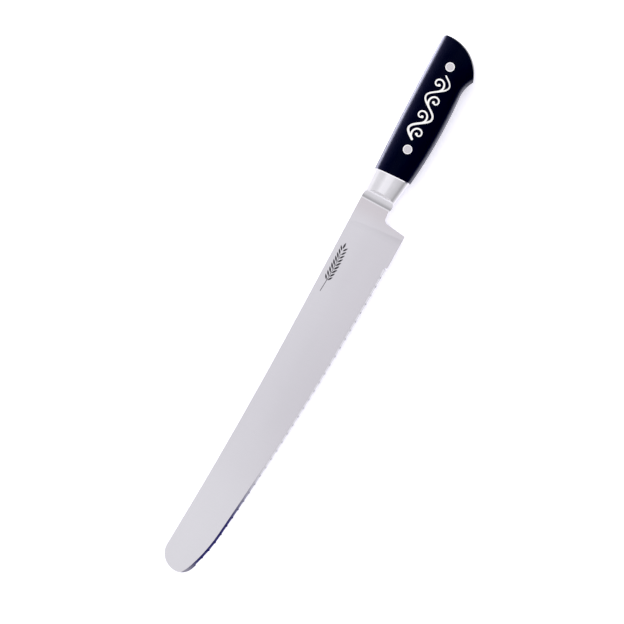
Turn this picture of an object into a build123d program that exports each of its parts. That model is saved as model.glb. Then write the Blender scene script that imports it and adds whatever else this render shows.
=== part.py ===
from build123d import *
import cmath
import copy
import math
import os

# A bread knife with a full tang: serrated blade, two bolster halves, two moulded scales, two hollow
# rivets and a metal inlay in each scale. All sizes are in millimetres.
#
# The knife is drawn with its tip on x = 0, its cutting edge towards -Y, its spine towards +Y, its left
# side towards +Z and the middle of the blade's thickness on z = 0. The last step moves it, so that the
# origin is in the middle of the underside of the knife as it lies on its right side.

# Stations along the knife, from the tip
TIP_ROUND_X = 6.8       # the round tip gives way to the edge
FULL_EDGE_X = 34.0      # the edge's tighter curve gives way to the long one
SPINE_LOW_X = 170.0     # lowest point of the hollow spine
PLUNGE_X = 251.0        # the flat grind begins to run out into the ricasso
HEEL_X = 260.0          # end of the cutting edge
JUNCTION_X = 269.3      # the blade enters the bolster
JOINT_X = 290.7         # the bolster meets the scales
JOINT_LEAN = 3.0        # degrees, the joint leans towards the tip at the spine
BUTT_X = 387.5

# Blade, seen from its side
HEEL_Y = -27.2
EDGE_RADIUS = 2150.0
EDGE_TIP_RADIUS = 120.0
TIP_TOP_RADIUS = 12.5
SPINE_TAKE_OFF = 2.8    # degrees, slope of the spine where it leaves the round tip
SPINE_LOW_Y = 9.3
NECK_FRONT_Y = -11.0    # underside of the neck between heel and bolster
NECK_BACK_Y = -10.2
NECK_FILLET = 3.2
HEEL_LEAN = 1.9         # the heel's back edge leans this far towards the handle

# Blade, thickness
TANG_HALF = 1.15
GRIND_HALF = 1.092      # half thickness at the top of the plunge
GRIND_PER_X = 0.00132   # half thickness gained per mm towards the handle
GRIND_PER_Y = 0.0130    # half thickness gained per mm towards the spine
PLUNGE_RADIUS = 35.0

# Cutting edge: one bevel on the left face, then scallops ground across it
BEVEL_WIDTH = 2.6
BEVEL_TOP = 0.70        # height of the bevel's shoulder
BEVEL_FOOT = -0.43      # height of the bevel at the edge
BEVEL_OVERLAP = 1.5     # the cutter reaches this far past the bevel on both sides
BEVEL_CUTTER_TOP = 3.0
BEVEL_BACK_X = 229.5    # the bevel begins to run out towards the heel
BEVEL_BACK_RADIUS = 6.0
BEVEL_BACK_TURN = 50.0  # degrees of run-out towards the heel
BEVEL_TIP_RADIUS = 30.0
BEVEL_TIP_TURN = 34.0   # degrees of run-out past the round tip
SCALLOPS = 35
SCALLOP_PITCH = 6.5
SCALLOP_FIRST = 2.5     # arc length from the round tip to the first tooth
SCALLOP_DEPTH = 0.5
SCALLOP_CORNER = 2.2
SCALLOP_TILT = 52.0     # degrees between the scallop's axis and the blade's normal
SCALLOP_REACH = 3.0     # of the cutter, each way along its axis
TOOTH_INSET = 0.06      # the teeth's points lie this far inside the outline

# Handle body: outline seen from the side, and squarish oval sections
TOP_CREST_X, TOP_CREST_Y = 385.0, 12.75
TOP_FRONT_Y = 9.95      # at the junction
BELLY_X, BELLY_Y = 330.0, -16.4
BELLY_RADIUS = 337.0
HOOK_X = 356.0          # the finger hook begins
HOOK_RADIUS = 18.0
HOOK_STRAIGHT = 15.0    # length after which the hook runs out straight
SWELL_X = 350.0         # thickest station
SWELL_HALF = 8.5
FRONT_HALF = 6.8        # half thickness of the body at the junction
OVAL_POWER = 2.5        # 2 is an ellipse, more is squarer
OVAL_STEPS = 28
SECTIONS = 33
LAST_SECTION_X = 390.0  # beyond the butt, which is cut afterwards

# Butt, a barrel-shaped end face with a rounded upper corner
END_CENTRE = (361.5, 6.7)
END_RADIUS = 26.1
END_FROM, END_TO = -80.0, 8.0   # degrees round END_CENTRE
END_CORNER_RADIUS = 2.85
END_CORNER_TURN = 72.0  # degrees
END_LEAD_OUT = 10.0
END_DOME_RADIUS = 26.0  # the end face is this round from side to side
END_WASTE = 30.0

# Bolster front: a weld fillet, then a hollow-ground ramp
FILLET_START = 6.0      # degrees
FILLET_END = 40.0
FILLET_RADIUS = 6.0
RAMP_RADIUS = 30.0
RAMP_END = 60.0

# Bolster back: a chamfered rim
RIM_LENGTH = 0.9        # along the knife
RIM_DEPTH = 0.3

# Rivets: a tubular half from the left, a pin half pressed into it from the right
RIVET_STATIONS = {"front": (309.8, -1.8), "rear": (369.3, -0.5)}
RIVET_HEAD = 6.0        # diameters
RIVET_TUBE = 4.2
RIVET_PIN = 2.8
TANG_HOLE = 4.4
RIVET_SEAT_Z = 6.0      # under the heads
TUBE_END_Z = -5.2
BORE_END_Z = 5.0
PIN_END_Z = 4.4

# Inlay: a running vine between the rivets, with a curl in each bend
INLAY_FLOOR_Z = 6.6
VINE_START = (317.0, -1.0)
VINE_LENGTH = 46.0
VINE_BENDS = 4
VINE_SWING = 5.4
VINE_STEM = 1.5         # stroke widths
VINE_TIP = 0.9
CURL_STROKE = 1.3
CURL_BALL = 1.8
CURL_RADIUS = 5.4       # where the curl leaves the stem
CURL_END_RADIUS = 1.2
CURL_TURN = 390.0       # degrees
CURL_STEPS = 24
STEPS_PER_BEND = 6

FAR = 60.0              # beyond the knife in every direction across its length


def ground_half(x, y):
    """Half thickness of the flat-ground part of the blade."""
    return GRIND_HALF - GRIND_PER_X * (PLUNGE_X - x) - GRIND_PER_Y * (TOP_FRONT_Y - y)


def edge_arcs():
    """The cutting edge from heel to round tip, as two tangent arcs."""
    long_turn = math.asin((HEEL_X - FULL_EDGE_X) / EDGE_RADIUS)
    short_turn = math.asin(math.sin(long_turn) + (FULL_EDGE_X - TIP_ROUND_X) / EDGE_TIP_RADIUS) - long_turn
    long_arc = JernArc((HEEL_X, HEEL_Y), (-1, 0), EDGE_RADIUS, -math.degrees(long_turn))
    short_arc = JernArc(long_arc @ 1, long_arc % 1, EDGE_TIP_RADIUS, -math.degrees(short_turn))
    return long_arc, short_arc


def blade_outline():
    """Side view of the blade, from the tip to the bolster."""
    long_arc, short_arc = edge_arcs()
    start, heading = short_arc @ 1, short_arc % 1
    climb = math.degrees(math.asin(heading.Y))
    under_tip = JernArc(start, heading, start.X / (1 - heading.Y), climb - 90)
    over_tip = JernArc(under_tip @ 1, (0, 1), TIP_TOP_RADIUS, -(90 + SPINE_TAKE_OFF))
    front_spine = TangentArc(over_tip @ 1, (SPINE_LOW_X, SPINE_LOW_Y), tangent=over_tip % 1)
    back_spine = TangentArc(front_spine @ 1, (JUNCTION_X, TOP_FRONT_Y), tangent=front_spine % 1)
    neck_corner = (HEEL_X + HEEL_LEAN, NECK_FRONT_Y)
    back = Polyline(back_spine @ 1, (JUNCTION_X, NECK_BACK_Y), neck_corner, (HEEL_X, HEEL_Y))
    spine = [under_tip, over_tip, front_spine, back_spine]
    outline = make_face([long_arc, short_arc, *spine, *back.edges()])
    return fillet(outline.vertices().sort_by_distance(neck_corner)[0], NECK_FILLET)


def grind_tool():
    """What the flat grind takes off the left face: a slab on the ground plane, with a long plunge."""
    ground = Plane(
        origin=(PLUNGE_X, TOP_FRONT_Y, GRIND_HALF),
        x_dir=(1, 0, GRIND_PER_X),
        z_dir=(-GRIND_PER_X, -GRIND_PER_Y, 1),
    )
    length = PLUNGE_X + FAR + PLUNGE_RADIUS
    slab = Box(length, 2 * FAR, FAR, align=(Align.MAX, Align.CENTER, Align.MIN))
    slab = Pos(PLUNGE_RADIUS, 0, 0) * slab
    lower_end = slab.edges().filter_by(Axis.Y).group_by(Axis.Z)[0].sort_by(Axis.X)[-1]
    return ground * fillet(lower_end, PLUNGE_RADIUS)


def bevel_tool():
    """What the edge bevel takes off the left face, swept along the edge and off it at both ends."""
    long_arc, short_arc = edge_arcs()
    long_arc = long_arc.trim((HEEL_X - BEVEL_BACK_X) / (HEEL_X - FULL_EDGE_X), 1)
    backwards = JernArc(long_arc @ 0, (long_arc % 0) * -1, BEVEL_BACK_RADIUS, -BEVEL_BACK_TURN)
    lead_in = ThreePointArc(backwards @ 1, backwards @ 0.5, backwards @ 0)
    run_out = JernArc(short_arc @ 1, short_arc % 1, BEVEL_TIP_RADIUS, -BEVEL_TIP_TURN)
    slope = (BEVEL_TOP - BEVEL_FOOT) / BEVEL_WIDTH
    outside, inside = -BEVEL_OVERLAP, BEVEL_WIDTH + BEVEL_OVERLAP
    section = Polyline(
        (outside, BEVEL_FOOT + slope * outside),
        (inside, BEVEL_FOOT + slope * inside),
        (inside, BEVEL_CUTTER_TOP),
        (outside, BEVEL_CUTTER_TOP),
        close=True,
    )
    heading = lead_in % 0
    across = Plane(origin=lead_in @ 0, x_dir=(heading.Y, -heading.X, 0), z_dir=heading * -1)
    return sweep(across * make_face(section), path=Wire([lead_in, long_arc, short_arc, run_out]))


def scallop_tools():
    """One tilted cutter per scallop, side by side along the edge, so that they leave pointed teeth."""
    edge = Wire([*edge_arcs()])
    tilt = math.radians(SCALLOP_TILT)
    depth = SCALLOP_DEPTH * math.cos(tilt)
    bite = math.sqrt(SCALLOP_CORNER**2 - (SCALLOP_CORNER - depth) ** 2)
    width = SCALLOP_PITCH + 2 * (SCALLOP_CORNER - bite)
    height = 3 * SCALLOP_CORNER
    tools = []
    for number in range(SCALLOPS):
        from_tip = SCALLOP_FIRST + (number + 0.5) * SCALLOP_PITCH
        share = 1 - from_tip / edge.length
        point, along_edge = edge @ share, edge % share
        outward = Vector(-along_edge.Y, along_edge.X, 0)
        axis = Vector(0, 0, math.cos(tilt)) - outward * math.sin(tilt)
        foot = Vector(point.X, point.Y, -ground_half(point.X, point.Y)) - outward * TOOTH_INSET
        side_on = Plane(origin=foot, x_dir=along_edge, z_dir=axis)
        profile = Pos(0, height / 2 - depth) * RectangleRounded(width, height, SCALLOP_CORNER)
        tools.append(extrude(side_on * profile, amount=SCALLOP_REACH, both=True))
    return tools


def top_y(x):
    """Upper outline of bolster and handle."""
    share = (TOP_CREST_X - x) / (TOP_CREST_X - JUNCTION_X)
    return TOP_CREST_Y - (TOP_CREST_Y - TOP_FRONT_Y) * share**2


def belly_y(x):
    """Lower outline of bolster and handle: a long bow, then the finger hook."""
    bow = BELLY_Y + (x - BELLY_X) ** 2 / (2 * BELLY_RADIUS)
    into_hook = max(0.0, x - HOOK_X)
    curved = min(into_hook, HOOK_STRAIGHT)
    drop = curved**2 / (2 * HOOK_RADIUS) + (into_hook - curved) * HOOK_STRAIGHT / HOOK_RADIUS
    return bow - drop


def half_thickness(x):
    """Half thickness of bolster and handle."""
    share = (SWELL_X - x) / (SWELL_X - JUNCTION_X)
    return SWELL_HALF - (SWELL_HALF - FRONT_HALF) * share**2


def oval_section(x):
    """Squarish oval across the handle at station x."""
    middle, half = (top_y(x) + belly_y(x)) / 2, (top_y(x) - belly_y(x)) / 2
    points = []
    for step in range(OVAL_STEPS):
        angle = 2 * math.pi * step / OVAL_STEPS
        reach = math.copysign(abs(math.cos(angle)) ** (2 / OVAL_POWER), math.cos(angle))
        rise = math.copysign(abs(math.sin(angle)) ** (2 / OVAL_POWER), math.sin(angle))
        points.append((middle + half * reach, half_thickness(x) * rise))
    across = Plane(origin=(x, 0, 0), x_dir=(0, 1, 0), z_dir=(1, 0, 0))
    return across * make_face(Spline(*points, periodic=True))


def on_end(angle):
    """Point of the butt's end arc."""
    turn = math.radians(angle)
    return (END_CENTRE[0] + END_RADIUS * math.cos(turn), END_CENTRE[1] + END_RADIUS * math.sin(turn))


def butt_tool():
    """What the rounding of the butt takes off: everything outside a barrel-shaped end face."""
    end = ThreePointArc(on_end(END_FROM), on_end((END_FROM + END_TO) / 2), on_end(END_TO))
    corner = JernArc(end @ 1, end % 1, END_CORNER_RADIUS, END_CORNER_TURN)
    lead_out = Line(corner @ 1, corner @ 1 + (corner % 1) * END_LEAD_OUT)
    heading = end % 0
    across = Plane(origin=end @ 0, x_dir=(heading.Y, -heading.X, 0), z_dir=heading)
    barrel_half = SWELL_HALF + 2
    inset = END_DOME_RADIUS - math.sqrt(END_DOME_RADIUS**2 - barrel_half**2)
    barrel = ThreePointArc((-inset, -barrel_half), (0, 0), (-inset, barrel_half))
    outside = Polyline(barrel @ 1, (END_WASTE, barrel_half), (END_WASTE, -barrel_half), barrel @ 0)
    return sweep(across * make_face([barrel, *outside.edges()]), path=Wire([end, corner, lead_out]))


def handle_body():
    """Bolster, tang and scales as the one ground shape that they share."""
    spacing = (LAST_SECTION_X - JUNCTION_X) / (SECTIONS - 1)
    return loft([oval_section(JUNCTION_X + spacing * number) for number in range(SECTIONS)]) - butt_tool()


def between(low, high):
    """Everything between two heights."""
    middle = (Align.CENTER, Align.CENTER, Align.MIN)
    return Pos(0, 0, low) * Box(3 * BUTT_X, 2 * FAR, high - low, align=middle)


def behind(station, lean=0.0):
    """Everything on the handle's side of a station, with a cut that may lean."""
    slab = Box(2 * BUTT_X, 4 * FAR, 2 * FAR, align=(Align.MIN, Align.CENTER, Align.CENTER))
    return Pos(station, 0, 0) * Rot(0, 0, lean) * slab


def bar(station, diameter, low, high):
    """Round bar along Z at a rivet station, from one height to another."""
    x, y = station
    upright = (Align.CENTER, Align.CENTER, Align.MIN)
    return Pos(x, y, low) * Cylinder(diameter / 2, high - low, align=upright)


def make_blade(body):
    """Blade and tang in one piece."""
    blade = extrude(blade_outline(), amount=TANG_HALF, both=True)
    left_grind = grind_tool()
    blade = blade - left_grind - mirror(left_grind, Plane.XY)
    blade = blade - bevel_tool() - scallop_tools()
    tang = body & between(-TANG_HALF, TANG_HALF)
    tang -= [bar(station, TANG_HOLE, -FAR, FAR) for station in RIVET_STATIONS.values()]
    return blade + tang


def heading_at(degrees):
    """Direction at an angle from the knife's length."""
    return (math.cos(math.radians(degrees)), math.sin(math.radians(degrees)))


def ramp_tool():
    """What the grinding of the ramp takes off the front of the left bolster half."""
    corner = (JUNCTION_X, TANG_HALF)
    weld = JernArc(corner, heading_at(FILLET_START), FILLET_RADIUS, FILLET_END - FILLET_START)
    ramp = JernArc(weld @ 1, weld % 1, RAMP_RADIUS, RAMP_END - FILLET_END)
    rest = Polyline(ramp @ 1, (JUNCTION_X - 1, (ramp @ 1).Y), (JUNCTION_X - 1, TANG_HALF), weld @ 0)
    return extrude(Plane.XZ * make_face([weld, ramp, *rest.edges()]), amount=FAR, both=True)


def make_bolster(body):
    """Left bolster half, with the ramp in front and the chamfered rim at the joint."""
    bolster = (body & between(TANG_HALF, FAR)) - behind(JOINT_X, JOINT_LEAN)
    joint_face = bolster.faces().sort_by(Axis.X)[-1]
    rim = joint_face.edges().sort_by(Axis.Z)[-1]
    return chamfer(rim, RIM_DEPTH, RIM_LENGTH, reference=joint_face) - ramp_tool()


def stroke(points, start_width, end_width):
    """Tapering ribbon along a list of points, with round ends."""
    line = Spline(*points)
    steps = len(points)
    left, right = [], []
    for step in range(steps + 1):
        share = step / steps
        point, ahead = line @ share, line % share
        across = Vector(-ahead.Y, ahead.X) * (start_width + (end_width - start_width) * share) / 2
        left.append(point + across)
        right.append(point - across)
    sides = [Spline(*left), Spline(*right)]
    ribbon = make_face([*sides, Line(left[0], right[0]), Line(left[-1], right[-1])])
    start_cap = Pos(*(line @ 0)) * Circle(start_width / 2)
    end_cap = Pos(*(line @ 1)) * Circle(end_width / 2)
    return ribbon + start_cap + end_cap


def stem_point(share):
    """Point of the vine's waving stem, for a share of its length."""
    x, y = VINE_START
    return (x + VINE_LENGTH * share, y + VINE_SWING * math.sin(math.pi * VINE_BENDS * share))


def curl(bend):
    """One curl of the vine: a logarithmic spiral that leaves the stem at the start of a bend."""
    side = 1 if bend % 2 == 0 else -1
    start = complex(*stem_point(bend / VINE_BENDS))
    steepness = math.atan(math.pi * VINE_BENDS * VINE_SWING / VINE_LENGTH)
    leaving = CURL_RADIUS * cmath.exp(1j * side * steepness)
    turn = math.radians(CURL_TURN)
    winding = math.log(CURL_RADIUS / CURL_END_RADIUS) / turn + 1j * side
    points = []
    for step in range(CURL_STEPS + 1):
        turned = cmath.exp(-winding * turn * step / CURL_STEPS)
        point = start + leaving * (1 - turned) / winding
        points.append((point.real, point.imag))
    ball = Pos(*points[-1]) * Circle(CURL_BALL / 2)
    return stroke(points, CURL_STROKE, VINE_TIP) + ball


def vine():
    """The inlay's outline."""
    steps = STEPS_PER_BEND * VINE_BENDS
    stem = stroke([stem_point(step / steps) for step in range(steps + 1)], VINE_STEM, VINE_TIP)
    return stem + [curl(bend) for bend in range(VINE_BENDS)]


def make_inlay(body):
    """Left inlay, ground flush with the scale."""
    return extrude(Pos(0, 0, INLAY_FLOOR_Z) * vine(), amount=FAR) & body


def make_scale(body):
    """Left scale, with its rivet holes and the pocket for the inlay."""
    scale = body & between(TANG_HALF, FAR) & behind(JOINT_X, JOINT_LEAN)
    for station in RIVET_STATIONS.values():
        scale = scale - bar(station, RIVET_TUBE, 0, FAR) - bar(station, RIVET_HEAD, RIVET_SEAT_Z, FAR)
    return scale - extrude(Pos(0, 0, INLAY_FLOOR_Z) * vine(), amount=FAR)


def make_rivet(body, station):
    """Tubular half and pin half of one rivet, both ground flush with the scales."""
    head = bar(station, RIVET_HEAD, RIVET_SEAT_Z, FAR) & body
    bore = bar(station, RIVET_PIN, TUBE_END_Z, BORE_END_Z)
    tube = bar(station, RIVET_TUBE, TUBE_END_Z, RIVET_SEAT_Z) - bore
    pin = bar(station, RIVET_PIN, -RIVET_SEAT_Z, PIN_END_Z)
    return head + tube, mirror(head, Plane.XY) + pin


def make_parts():
    """Every piece of the knife, by node name."""
    body = handle_body()
    parts = {"blade": make_blade(body)}
    for name, make in {"bolster": make_bolster, "scale": make_scale, "inlay": make_inlay}.items():
        parts[f"{name}_left"] = make(body)
        parts[f"{name}_right"] = mirror(parts[f"{name}_left"], Plane.XY)
    for name, station in RIVET_STATIONS.items():
        parts[f"{name}_rivet_socket"], parts[f"{name}_rivet_pin"] = make_rivet(body, station)
    return parts


parts = make_parts()
whole = Compound(children=[copy.copy(piece) for piece in parts.values()]).bounding_box()
to_origin = Pos(-whole.center().X, -whole.center().Y, -whole.min.Z)
os.makedirs("parts", exist_ok=True)
for name, piece in parts.items():
    export_step(to_origin * piece, f"parts/{name}.step")
print("tip at", to_origin.position, "whole", whole.size)
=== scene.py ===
import math

import bpy
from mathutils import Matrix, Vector
from mathutils.bvhtree import BVHTree


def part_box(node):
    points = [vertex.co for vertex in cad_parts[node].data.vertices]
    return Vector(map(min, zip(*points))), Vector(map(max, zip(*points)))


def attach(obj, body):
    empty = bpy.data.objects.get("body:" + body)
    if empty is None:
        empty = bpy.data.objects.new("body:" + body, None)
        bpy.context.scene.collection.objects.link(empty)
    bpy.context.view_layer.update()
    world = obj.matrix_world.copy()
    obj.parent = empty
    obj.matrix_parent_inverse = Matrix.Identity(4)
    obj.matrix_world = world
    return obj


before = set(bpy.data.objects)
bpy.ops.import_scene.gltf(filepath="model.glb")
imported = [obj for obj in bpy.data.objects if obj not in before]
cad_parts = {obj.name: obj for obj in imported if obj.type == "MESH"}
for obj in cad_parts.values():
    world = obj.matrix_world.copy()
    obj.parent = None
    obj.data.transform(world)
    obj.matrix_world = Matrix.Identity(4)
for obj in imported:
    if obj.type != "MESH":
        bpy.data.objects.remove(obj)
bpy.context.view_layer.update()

# A bread knife on a pale table, seen from straight above. Everything is in metres, in the frame's own
# axes: +X from tip to butt, +Y from the cutting edge to the spine, +Z out of the left side.

MM = 0.001

# Camera
CAMERA_DISTANCE = 1.5           # from the blade's face
CAMERA_FIELD = 0.4025           # width of the view there
CAMERA_ROLL = -61.47            # degrees, so that the butt points to the upper right
CAMERA_SHIFT = (-5.0 * MM, 9.39 * MM)   # from the middle of the knife

# Where the parts lie
BLADE_LOW, BLADE_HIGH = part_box("blade")
BOLSTER_LOW, BOLSTER_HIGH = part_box("bolster_left")
SCALE_LOW, SCALE_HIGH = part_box("scale_left")

# The knife's own middle line, through blade and bolster
BOLSTER_RISE = 10.85 * MM       # of the bolster's spine side above that line
KNIFE_Y = BOLSTER_HIGH.y - BOLSTER_RISE


def connect(tree, value, socket):
    """Links a socket, or sets a constant."""
    if isinstance(value, bpy.types.NodeSocket):
        tree.links.new(value, socket)
    else:
        socket.default_value = value


def add(tree, kind, inputs=(), **settings):
    """Adds a shader node. Its inputs are given by name or number, as sockets or constants."""
    node = tree.nodes.new("ShaderNode" + kind)
    for key, value in settings.items():
        setattr(node, key, value)
    for key, value in dict(inputs).items():
        connect(tree, value, node.inputs[key])
    return node


def calculate(tree, operation, *values):
    """One step of arithmetic."""
    return add(tree, "Math", enumerate(values), operation=operation).outputs[0]


def ramp(tree, value, low, high, start=0.0, end=1.0):
    """Smooth change from start to end while value goes from low to high."""
    sockets = {"Value": value, "From Min": low, "From Max": high, "To Min": start, "To Max": end}
    return add(tree, "MapRange", sockets, interpolation_type="SMOOTHSTEP").outputs["Result"]


def noise(tree, place, stretch, detail=3.0, roughness=0.5):
    """Noise with its own scale along each axis, in features per metre."""
    stretched = add(tree, "Mapping", {"Vector": place, "Scale": stretch}).outputs[0]
    return add(tree, "TexNoise", {"Vector": stretched, "Scale": 1.0, "Detail": detail,
                                  "Roughness": roughness}).outputs["Fac"]


def blend_colours(tree, share, first, second):
    """Colour between two others."""
    mixer = add(tree, "Mix", data_type="RGBA")
    connect(tree, share, mixer.inputs[0])
    for colour, socket in ((first, mixer.inputs[6]), (second, mixer.inputs[7])):
        connect(tree, colour if isinstance(colour, bpy.types.NodeSocket) else (*colour, 1.0), socket)
    return mixer.outputs[2]


def new_material(name):
    """A material with its node tree, its shader and the place on the object."""
    material = bpy.data.materials.new(name)
    material.use_nodes = True
    tree = material.node_tree
    place = add(tree, "TexCoord").outputs["Object"]
    return material, tree, tree.nodes["Principled BSDF"], place


def bump(tree, shader, height, depth):
    """Lets the shader follow a height, from 0 to 1, that is this many metres deep."""
    bumped = add(tree, "Bump", {"Height": height, "Strength": 1.0, "Distance": depth})
    connect(tree, bumped.outputs[0], shader.inputs["Normal"])


# Blade steel: tones of the ground face, with painted shade and painted highlight that shift from place to
# place (paler towards the spine and near the tip, darker towards the edge and near the bolster), and of the
# steeper sides
FACE_ABOVE_TONE = (0.585, 0.574, 0.608)     # towards the spine
FACE_BELOW_TONE = (0.552, 0.536, 0.572)     # towards the edge
FACE_TIP_PAINTED_HIGHLIGHT = (0.640, 0.632, 0.662)
FACE_BOLSTER_PAINTED_SHADE = (0.545, 0.518, 0.545)
BEVEL_TONE = (0.94, 0.92, 0.97)
SCALLOP_TONE = (0.80, 0.79, 0.84)

# Where the face's painted shade and painted highlight give way: across the knife, and along it from the tip
# and from the bolster
FACE_ACROSS = (14.0 * MM, -20.0 * MM)
FACE_FROM_TIP = (130.0 * MM, 25.0 * MM)
FACE_FROM_BOLSTER = (-16.0 * MM, -2.0 * MM)

# Z of a surface's normal where the face gives way to the bevel, and the bevel to a scallop. The spine's rim
# and the tang's are steeper still, so they have a scallop's tone
BEVEL_LEVEL = (0.97, 0.94)
SCALLOP_LEVEL = (0.88, 0.84)

# Painted dark reflection near the tip, a navy tone that stands in for dark surroundings mirrored there, on
# the ground edge and on the spine's rim alike: the distances from the tip where it is full, starts to fade
# and is gone
DARK_REFLECTION_FULL, DARK_REFLECTION_FADES, DARK_REFLECTION_GONE = 14.0 * MM, 40.0 * MM, 92.0 * MM
DARK_REFLECTION_AT_TIP = 0.45                          # share of the full tint
DARK_REFLECTION_COLOUR = (0.06, 0.055, 0.19)


def painted_face_shading(tree, along, across):
    """Painted shade and painted highlight on the ground face, by the place along and across the knife."""
    low_side = ramp(tree, across, *FACE_ACROSS)
    near_tip = ramp(tree, along, *(BLADE_LOW.x + distance for distance in FACE_FROM_TIP))
    near_bolster = ramp(tree, along, *(BOLSTER_LOW.x + distance for distance in FACE_FROM_BOLSTER))
    tone = blend_colours(tree, low_side, FACE_ABOVE_TONE, FACE_BELOW_TONE)
    tone = blend_colours(tree, near_tip, tone, FACE_TIP_PAINTED_HIGHLIGHT)
    return blend_colours(tree, near_bolster, tone, FACE_BOLSTER_PAINTED_SHADE)


def steep_side_tone(tree, along, scallop):
    """Tone of the bevel, the scallops and the blade's other steep sides, with a painted dark reflection near
    the tip.
    """
    bare = blend_colours(tree, scallop, BEVEL_TONE, SCALLOP_TONE)
    # painted dark reflection on the steep sides, strongest near the tip
    fading = ramp(tree, along, BLADE_LOW.x + DARK_REFLECTION_GONE, BLADE_LOW.x + DARK_REFLECTION_FADES)
    rising = ramp(tree, along, BLADE_LOW.x, BLADE_LOW.x + DARK_REFLECTION_FULL, DARK_REFLECTION_AT_TIP, 1.0)
    return blend_colours(tree, calculate(tree, "MULTIPLY", fading, rising), bare, DARK_REFLECTION_COLOUR)


def satin_steel():
    """Blade steel: fine grinding lines across the blade, and a finer ground edge."""
    material, tree, shader, place = new_material("satin_steel")
    lines = noise(tree, place, (9000.0, 90.0, 300.0), detail=4.0)
    clouds = noise(tree, place, (28.0, 45.0, 45.0), detail=2.0)
    along, across = add(tree, "SeparateXYZ", {0: place}).outputs[:2]
    level = add(tree, "SeparateXYZ", {0: add(tree, "NewGeometry").outputs["Normal"]}).outputs[2]
    level = calculate(tree, "ABSOLUTE", level)
    bevel = ramp(tree, level, *BEVEL_LEVEL)
    scallop = ramp(tree, level, *SCALLOP_LEVEL)
    shade = calculate(tree, "MULTIPLY_ADD", lines, 0.10, -0.05)
    shade = calculate(tree, "MULTIPLY_ADD", clouds, 0.05, calculate(tree, "ADD", shade, 0.975))
    # the face's tone carries painted shade and painted highlight
    shaded = {0: painted_face_shading(tree, along, across), 1: shade}
    face = add(tree, "VectorMath", shaded, operation="MULTIPLY").outputs[0]
    steep = steep_side_tone(tree, along, scallop)
    connect(tree, blend_colours(tree, bevel, face, steep), shader.inputs["Base Color"])
    rough = calculate(tree, "MULTIPLY_ADD", lines, 0.10, 0.25)
    rough = calculate(tree, "MULTIPLY_ADD", bevel, -0.12, rough)
    rough = calculate(tree, "MULTIPLY_ADD", scallop, -0.07, rough)
    connect(tree, rough, shader.inputs["Roughness"])
    shader.inputs["Metallic"].default_value = 1.0
    shader.inputs["Anisotropic"].default_value = 0.3
    bump(tree, shader, lines, 0.0012 * MM)
    return material


# Bolster steel, whose ramp faces the tip, with a painted highlight on the ramp's crest. X of a surface's
# normal where that painted highlight on the crest starts and is full
CREST_HIGHLIGHT_FACING = (-0.70, -0.77)
CREST_HIGHLIGHT_TONE = (1.0, 0.99, 1.0)


def polished_steel():
    """Bolster steel: polished along the knife, with faint lines and haze, and a painted highlight on the
    crest.
    """
    material, tree, shader, place = new_material("polished_steel")
    lines = noise(tree, place, (120.0, 7000.0, 7000.0), detail=3.0)
    haze = noise(tree, place, (260.0, 260.0, 260.0), detail=3.0)
    polish = blend_colours(tree, haze, (0.64, 0.63, 0.665), (0.70, 0.69, 0.72))
    facing = add(tree, "SeparateXYZ", {0: add(tree, "NewGeometry").outputs["Normal"]}).outputs[0]
    # painted highlight: a near-white tone on the ramp's crest
    crest = ramp(tree, facing, *CREST_HIGHLIGHT_FACING)
    connect(tree, blend_colours(tree, crest, polish, CREST_HIGHLIGHT_TONE), shader.inputs["Base Color"])
    rough = calculate(tree, "MULTIPLY_ADD", lines, 0.05, 0.07)
    connect(tree, calculate(tree, "MULTIPLY_ADD", haze, 0.05, rough), shader.inputs["Roughness"])
    shader.inputs["Metallic"].default_value = 1.0
    bump(tree, shader, lines, 0.0005 * MM)
    return material


def moulded_plastic():
    """Scales: near-black moulded plastic with a soft polish, fine grain and faint hairline scratches."""
    material, tree, shader, place = new_material("moulded_plastic")
    grain = noise(tree, place, (2200.0, 2200.0, 2200.0), detail=3.0)
    mottle = noise(tree, place, (90.0, 160.0, 160.0), detail=3.0)
    hairs = noise(tree, place, (70.0, 5200.0, 5200.0), detail=2.0)
    scratch = ramp(tree, hairs, 0.66, 0.74)
    connect(tree, blend_colours(tree, mottle, (0.003, 0.003, 0.010), (0.005, 0.005, 0.014)),
            shader.inputs["Base Color"])
    rough = calculate(tree, "MULTIPLY_ADD", mottle, 0.08, 0.20)
    connect(tree, calculate(tree, "MULTIPLY_ADD", scratch, 0.10, rough), shader.inputs["Roughness"])
    shader.inputs["Specular IOR Level"].default_value = 0.12
    height = calculate(tree, "MULTIPLY_ADD", scratch, -0.4, grain)
    bump(tree, shader, height, 0.002 * MM)
    return material


def inlay_metal():
    """Inlay: pale white metal with a fine satin finish."""
    material, tree, shader, place = new_material("inlay_metal")
    grain = noise(tree, place, (3000.0, 3000.0, 3000.0), detail=3.0)
    haze = noise(tree, place, (300.0, 300.0, 300.0))
    metal = blend_colours(tree, haze, (0.80, 0.79, 0.78), (0.92, 0.91, 0.89))
    connect(tree, metal, shader.inputs["Base Color"])
    connect(tree, calculate(tree, "MULTIPLY_ADD", grain, 0.16, 0.24), shader.inputs["Roughness"])
    shader.inputs["Metallic"].default_value = 1.0
    bump(tree, shader, grain, 0.0015 * MM)
    return material


RIVET_RINGS = 26000.0                       # radians of the rings' wave per metre
RIVET_RIM = (2.35 * MM, 2.65 * MM)          # radii where the bright rim starts and is full


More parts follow.
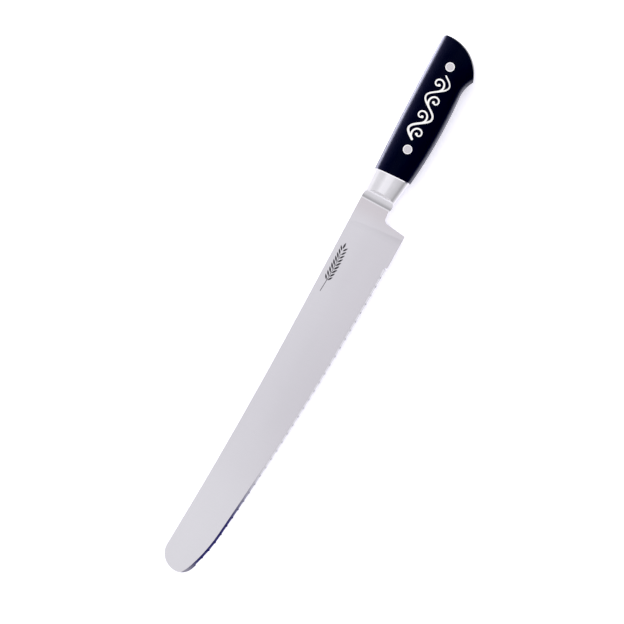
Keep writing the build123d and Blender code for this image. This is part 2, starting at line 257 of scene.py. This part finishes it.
def rivet_metal():
    """Rivets: turned heads with fine rings round each rivet's axis, brighter at the rim."""
    material, tree, shader, place = new_material("rivet_metal")
    distances = []
    for name in ("front_rivet_socket", "rear_rivet_socket"):
        low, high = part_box(name)
        flat = add(tree, "VectorMath", {0: place, 1: (1.0, 1.0, 0.0)}, operation="MULTIPLY").outputs[0]
        centre = ((low.x + high.x) / 2, (low.y + high.y) / 2, 0.0)
        distances.append(add(tree, "VectorMath", {0: flat, 1: centre}, operation="DISTANCE").outputs["Value"])
    radius = calculate(tree, "MINIMUM", *distances)
    rings = calculate(tree, "SINE", calculate(tree, "MULTIPLY", radius, RIVET_RINGS))
    rings = calculate(tree, "MULTIPLY_ADD", rings, 0.5, 0.5)
    rim = ramp(tree, radius, *RIVET_RIM)
    haze = noise(tree, place, (700.0, 700.0, 700.0))
    disc = blend_colours(tree, haze, (0.50, 0.48, 0.51), (0.58, 0.56, 0.59))
    connect(tree, blend_colours(tree, rim, disc, (0.86, 0.85, 0.86)), shader.inputs["Base Color"])
    connect(tree, calculate(tree, "MULTIPLY_ADD", rings, 0.08, 0.26), shader.inputs["Roughness"])
    shader.inputs["Metallic"].default_value = 1.0
    bump(tree, shader, rings, 0.0008 * MM)
    return material


def etched_mark():
    """Etched decoration: matt dark grey with a slightly uneven depth of colour."""
    material, tree, shader, place = new_material("etched_mark")
    speckle = noise(tree, place, (1800.0, 1800.0, 1800.0))
    dark = blend_colours(tree, speckle, (0.02, 0.018, 0.024), (0.07, 0.065, 0.08))
    connect(tree, dark, shader.inputs["Base Color"])
    connect(tree, calculate(tree, "MULTIPLY_ADD", speckle, 0.2, 0.55), shader.inputs["Roughness"])
    shader.inputs["Metallic"].default_value = 0.3
    bump(tree, shader, speckle, 0.002 * MM)
    return material


# The table gives off light of its own, as a lit backdrop does
TABLE_GLOW = (0.37, 0.365, 0.42)


def table_paper():
    """Pale floor: matt white with a very faint tooth."""
    material, tree, shader, place = new_material("table_paper")
    tooth = noise(tree, place, (900.0, 900.0, 900.0))
    white = blend_colours(tree, tooth, (0.86, 0.855, 0.87), (0.89, 0.885, 0.90))
    connect(tree, white, shader.inputs["Base Color"])
    shader.inputs["Roughness"].default_value = 0.9
    shader.inputs["Emission Color"].default_value = (*TABLE_GLOW, 1.0)
    shader.inputs["Emission Strength"].default_value = 1.0
    shader.inputs["Specular IOR Level"].default_value = 0.1
    bump(tree, shader, tooth, 0.01 * MM)
    return material


def finish_parts():
    """Gives every CAD node its material."""
    finishes = {
        "blade": satin_steel(),
        "bolster": polished_steel(),
        "scale": moulded_plastic(),
        "inlay": inlay_metal(),
        "rivet": rivet_metal(),
    }
    for name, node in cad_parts.items():
        kind = next(word for word in finishes if word in name)
        for slot in node.material_slots:
            slot.material = finishes[kind]


# The etched decoration: a generic ear of wheat
EAR_START = -66.0 * MM      # from the front of the bolster to the foot of the stem
EAR_LENGTH = 34.0 * MM
EAR_Y = 4.3 * MM            # above the knife's middle line
EAR_GRAINS = 9              # pairs, and one more grain at the top
EAR_FIRST, EAR_LAST = 0.24, 0.86    # shares of the ear's length where the first and the last pair sit
EAR_TOP = 0.9               # and where the top grain sits
STEM_STEPS = 24
STEM_POINTS = 20            # from the foot to where the drawn stem stops
STEM_SAG = 0.7 * MM
STEM_WIDTHS = (0.42 * MM, 0.3 * MM)
GRAIN_LENGTH = 4.6 * MM
GRAIN_WIDTH = 1.25 * MM
GRAIN_LEAN = math.radians(34)
GRAIN_ASIDE = 0.3 * MM      # from the stem's middle
GRAIN_LOSS = 0.35           # grains are smaller by this much times their share away from the middle
ETCH_RISE = 0.012 * MM      # above the blade's face, and as far below it


def lens(start, heading, length, width, steps=8):
    """Outline of a pointed oval that leaves a point at an angle in radians."""
    ahead = Vector((math.cos(heading), math.sin(heading)))
    aside = Vector((-ahead.y, ahead.x))
    upper = [start + ahead * length * i / steps + aside * width / 2 * math.sin(math.pi * i / steps)
             for i in range(steps + 1)]
    lower = [start + ahead * length * i / steps - aside * width / 2 * math.sin(math.pi * i / steps)
             for i in range(steps - 1, 0, -1)]
    return upper + lower


def band(points, start_width, end_width):
    """Outline of a tapering ribbon along a list of points."""
    left, right = [], []
    for i, point in enumerate(points):
        ahead = (points[min(i + 1, len(points) - 1)] - points[max(i - 1, 0)]).normalized()
        half = (start_width + (end_width - start_width) * i / (len(points) - 1)) / 2
        aside = Vector((-ahead.y, ahead.x)) * half
        left.append(point + aside)
        right.append(point - aside)
    return left + right[::-1]


def ear_outlines():
    """Every closed outline of the wheat ear, as points in the plane of the blade."""
    foot = Vector((BOLSTER_LOW.x + EAR_START, EAR_Y + KNIFE_Y))
    stem = []
    for i in range(STEM_STEPS + 1):
        sag = STEM_SAG * math.sin(math.pi * i / STEM_STEPS)
        stem.append(foot + Vector((EAR_LENGTH * i / STEM_STEPS, -sag)))
    outlines = [band(stem[:STEM_POINTS], *STEM_WIDTHS)]
    for number in range(EAR_GRAINS):
        share = EAR_FIRST + (EAR_LAST - EAR_FIRST) * number / (EAR_GRAINS - 1)
        point = stem[0].lerp(stem[-1], share)
        point.y = foot.y - STEM_SAG * math.sin(math.pi * share)
        size = 1.0 - GRAIN_LOSS * abs(share - 0.5)
        for side in (1, -1):
            base = point + Vector((0.0, side * GRAIN_ASIDE))
            outlines.append(lens(base, side * GRAIN_LEAN, GRAIN_LENGTH * size, GRAIN_WIDTH * size))
    outlines.append(lens(stem[0].lerp(stem[-1], EAR_TOP), 0.0, GRAIN_LENGTH, GRAIN_WIDTH))
    return outlines


def etch(outlines):
    """A thin closed solid for each outline, lying on the blade's left face."""
    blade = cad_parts["blade"].data
    surface = BVHTree.FromPolygons([v.co for v in blade.vertices], [p.vertices for p in blade.polygons])
    vertices, faces = [], []
    for outline in outlines:
        start, count = len(vertices), len(outline)
        for level in (-ETCH_RISE, ETCH_RISE):
            for point in outline:
                above = Vector((point.x, point.y, BLADE_HIGH.z + 5 * MM))
                hit = surface.ray_cast(above, Vector((0.0, 0.0, -1.0)))[0]
                vertices.append(hit + Vector((0.0, 0.0, level)))
        faces.append([start + i for i in reversed(range(count))])
        faces.append([start + count + i for i in range(count)])
        for i in range(count):
            j = (i + 1) % count
            faces.append([start + i, start + j, start + count + j, start + count + i])
    mesh = bpy.data.meshes.new("blade_etching")
    mesh.from_pydata(vertices, [], faces)
    mesh.validate()
    piece = bpy.data.objects.new("blade_etching", mesh)
    bpy.context.scene.collection.objects.link(piece)
    mesh.materials.append(etched_mark())
    piece.visible_glossy = False
    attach(piece, "root")


TABLE_SIZE = 10.0
TABLE_GAP = 0.05 * MM       # under the knife
STEEPEST = 0.1              # slopes along X that are tried lie between this and its negative
HALVINGS = 30               # of that range


def resting_plane():
    """Height at X = 0 and slope along X of the table, which touches the knife's tip and its handle."""
    points = [v.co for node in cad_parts.values() for v in node.data.vertices]
    front = [p for p in points if p.x < 0]
    back = [p for p in points if p.x >= 0]
    low, high = -STEEPEST, STEEPEST
    for _ in range(HALVINGS):
        slope = (low + high) / 2
        front_height = min(p.z - slope * p.x for p in front)
        back_height = min(p.z - slope * p.x for p in back)
        if front_height > back_height:
            high = slope
        else:
            low = slope
    return min(front_height, back_height), slope


def make_floor(height, slope):
    """A pale table top, tilted so that the knife lies on it."""
    half = TABLE_SIZE / 2
    outline = ((-half, -half), (half, -half), (half, half), (-half, half))
    corners = [(x, y, height + slope * x - TABLE_GAP) for x, y in outline]
    mesh = bpy.data.meshes.new("table")
    mesh.from_pydata(corners, [], [(0, 1, 2, 3)])
    floor = bpy.data.objects.new("table", mesh)
    bpy.context.scene.collection.objects.link(floor)
    mesh.materials.append(table_paper())


# The studio, as brightness by direction in degrees from straight up: round the knife's length, with the
# spine's side positive, and beyond its two ends, with the butt's side positive
SIDE_BANDS = (
    (-180, 1.1), (-128, 1.08), (-95, 1.25), (-84, 1.1), (-72, 0.86), (-62, 0.62), (-50, 0.58), (-42, 0.74),
    (-33, 0.84), (-15, 0.96), (-6, 1.02), (-2, 1.3), (8, 1.32), (15, 1.12), (24, 1.05), (44, 1.08),
    (62, 1.34), (78, 1.38), (92, 1.2), (108, 0.95), (130, 0.97), (180, 1.1),
)
END_BANDS = (
    (-180, 1.36), (-104, 1.3), (-92, 1.12), (-80, 0.98), (-67, 0.88), (-53, 0.74), (-40, 0.60), (-27, 0.60),
    (-14, 0.74), (-6, 1.1), (12, 1.25), (24, 1.5), (60, 1.5), (80, 1.2), (180, 1.36),
)
END_BLEND = (0.2, 0.5)      # size of a direction's X where the ends begin to count and where they alone do
STUDIO_TINT = (0.985, 0.98, 1.0)

# Grey gaps in the surroundings, low on the edge's side, that the flanks of the teeth reflect. The limits are
# in degrees: each gap fades in, and out again
GAP_MIDDLE = 3.0                        # round from the edge's side, towards the tip
GAP_ASIDE = (20.0, 28.0, 62.0, 78.0)    # each way from the middle
GAP_ABOVE = (-4.0, 3.0, 27.0, 31.0)     # above the horizon
GAP_COLOUR = (0.20, 0.195, 0.24)


def brightness_bands(tree, sideways, upwards, bands, strongest):
    """Brightness by direction in one upright plane."""
    angle = calculate(tree, "ARCTAN2", sideways, upwards)
    share = calculate(tree, "MULTIPLY_ADD", angle, 0.5 / math.pi, 0.5)
    colours = add(tree, "ValToRGB", {0: share})
    stops = colours.color_ramp.elements
    while len(stops) < len(bands):
        stops.new(1.0)
    for stop, (degrees, brightness) in zip(stops, bands):
        stop.position = degrees / 360 + 0.5
        stop.color = (*(tint * brightness / strongest for tint in STUDIO_TINT), 1.0)
    return colours.outputs[0]


def window(tree, value, limits):
    """1 between the two middle limits, 0 outside the outer two. The limits are in degrees."""
    rise_from, rise_to, fall_from, fall_to = (math.radians(limit) for limit in limits)
    rise = ramp(tree, value, rise_from, rise_to)
    return calculate(tree, "MULTIPLY", rise, ramp(tree, value, fall_from, fall_to, 1.0, 0.0))


def make_studio():
    """Soft white surroundings with brighter and darker bands, and the grey gaps, as a world."""
    world = bpy.data.worlds.new("studio")
    bpy.context.scene.world = world
    world.use_nodes = True
    tree = world.node_tree
    x, y, z = add(tree, "SeparateXYZ", {0: add(tree, "TexCoord").outputs["Generated"]}).outputs
    strongest = max(brightness for _, brightness in SIDE_BANDS + END_BANDS)
    sides = brightness_bands(tree, y, z, SIDE_BANDS, strongest)
    ends = brightness_bands(tree, x, z, END_BANDS, strongest)
    endwards = ramp(tree, calculate(tree, "ABSOLUTE", x), *END_BLEND)
    panels = blend_colours(tree, endwards, sides, ends)
    backwards = [calculate(tree, "MULTIPLY", part, -1.0) for part in (x, y)]
    aside = calculate(tree, "SUBTRACT", calculate(tree, "ARCTAN2", *backwards), math.radians(GAP_MIDDLE))
    aside = window(tree, calculate(tree, "ABSOLUTE", aside), GAP_ASIDE)
    above = window(tree, calculate(tree, "ARCSINE", z), GAP_ABOVE)
    gap = calculate(tree, "MULTIPLY", aside, above)
    background = tree.nodes["Background"]
    connect(tree, blend_colours(tree, gap, panels, GAP_COLOUR), background.inputs["Color"])
    background.inputs["Strength"].default_value = strongest


# Long panels of light beside the handle, which only the scales reflect: one on the spine's side, with the
# sign +1, and a weaker one on the belly's side, which ends before the butt
STRIPS = {1: (17.0, 60.0 * MM), -1: (5.5, -26.0 * MM)}      # brightness, and reach past the butt
STRIP_NEAR = 8.0 * MM           # from the handle
STRIP_WIDTH = 67.0 * MM
STRIP_SLOPE = 11.0              # degrees, the far side is the higher one
STRIP_FRONT = 60.0 * MM         # reach past the front of the scales
STRIP_RISE = 1.0 * MM           # of the near side above the table
STRIP_COLOUR = (0.80, 0.80, 1.0)

# A large soft panel on the spine's side, which faces the middle of the knife
KEY_SIZE = (1.2, 0.8)
KEY_POWER = 9.0                 # watts
KEY_COLOUR = (1.0, 0.99, 0.97)
KEY_PLACE = (0.1, 1.0, 1.1)


def make_panel(name, size, power, colour):
    """A rectangular area light that the camera doesn't see."""
    light = bpy.data.lights.new(name, "AREA")
    light.shape = "RECTANGLE"
    light.size, light.size_y = size
    light.energy = power
    light.color = colour
    lamp = bpy.data.objects.new(name, light)
    bpy.context.scene.collection.objects.link(lamp)
    lamp.visible_camera = False
    return lamp


def make_key_light():
    """Soft light for the whole table, without a reflection of its own."""
    lamp = make_panel("key", KEY_SIZE, KEY_POWER, KEY_COLOUR)
    lamp.location = KEY_PLACE
    lamp.rotation_euler = (-lamp.location).to_track_quat("-Z", "Y").to_euler()
    lamp.visible_glossy = False


def make_strip_light(side, brightness, reach, height, slope):
    """Edge light for the black scales, from low on one side."""
    start, end = SCALE_LOW.x - STRIP_FRONT, SCALE_HIGH.x + reach
    length = end - start
    power = brightness * math.pi * length * STRIP_WIDTH
    lamp = make_panel(f"strip_{side}", (length, STRIP_WIDTH), power, STRIP_COLOUR)
    lean = math.radians(STRIP_SLOPE)
    x = (start + end) / 2
    y = SCALE_HIGH.y if side > 0 else SCALE_LOW.y
    y += side * (STRIP_NEAR + STRIP_WIDTH / 2 * math.cos(lean))
    lamp.location = (x, y, height + slope * x + STRIP_WIDTH / 2 * math.sin(lean) + STRIP_RISE)
    lamp.rotation_euler = (math.pi + side * lean, -math.atan(slope), 0.0)
    scales = bpy.data.collections.new(f"lit_by_{lamp.name}")
    for name in ("scale_left", "scale_right"):
        scales.objects.link(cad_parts[name])
    lamp.light_linking.receiver_collection = scales


def make_camera():
    """Long lens, straight above the knife."""
    camera = bpy.data.cameras.new("camera")
    camera.lens = camera.sensor_width * CAMERA_DISTANCE / CAMERA_FIELD
    camera.clip_end = 20.0
    holder = bpy.data.objects.new("camera", camera)
    bpy.context.scene.collection.objects.link(holder)
    holder.location = (CAMERA_SHIFT[0], CAMERA_SHIFT[1], BLADE_HIGH.z + CAMERA_DISTANCE)
    holder.rotation_euler = (0.0, 0.0, math.radians(CAMERA_ROLL))
    bpy.context.scene.camera = holder


BLACK_LEVEL = (0.0158, 0.0150, 0.0180)      # red, green and blue that print as black


def set_exposure():
    """Plain tones, with the deepest shades printed black."""
    view = bpy.context.scene.view_settings
    view.view_transform = "Standard"
    view.use_curve_mapping = True
    view.curve_mapping.black_level = BLACK_LEVEL
    view.curve_mapping.update()


set_exposure()
finish_parts()
etch(ear_outlines())
table_height, table_slope = resting_plane()
make_floor(table_height, table_slope)
make_studio()
make_key_light()
for side, (brightness, reach) in STRIPS.items():
    make_strip_light(side, brightness, reach, table_height, table_slope)
make_camera()
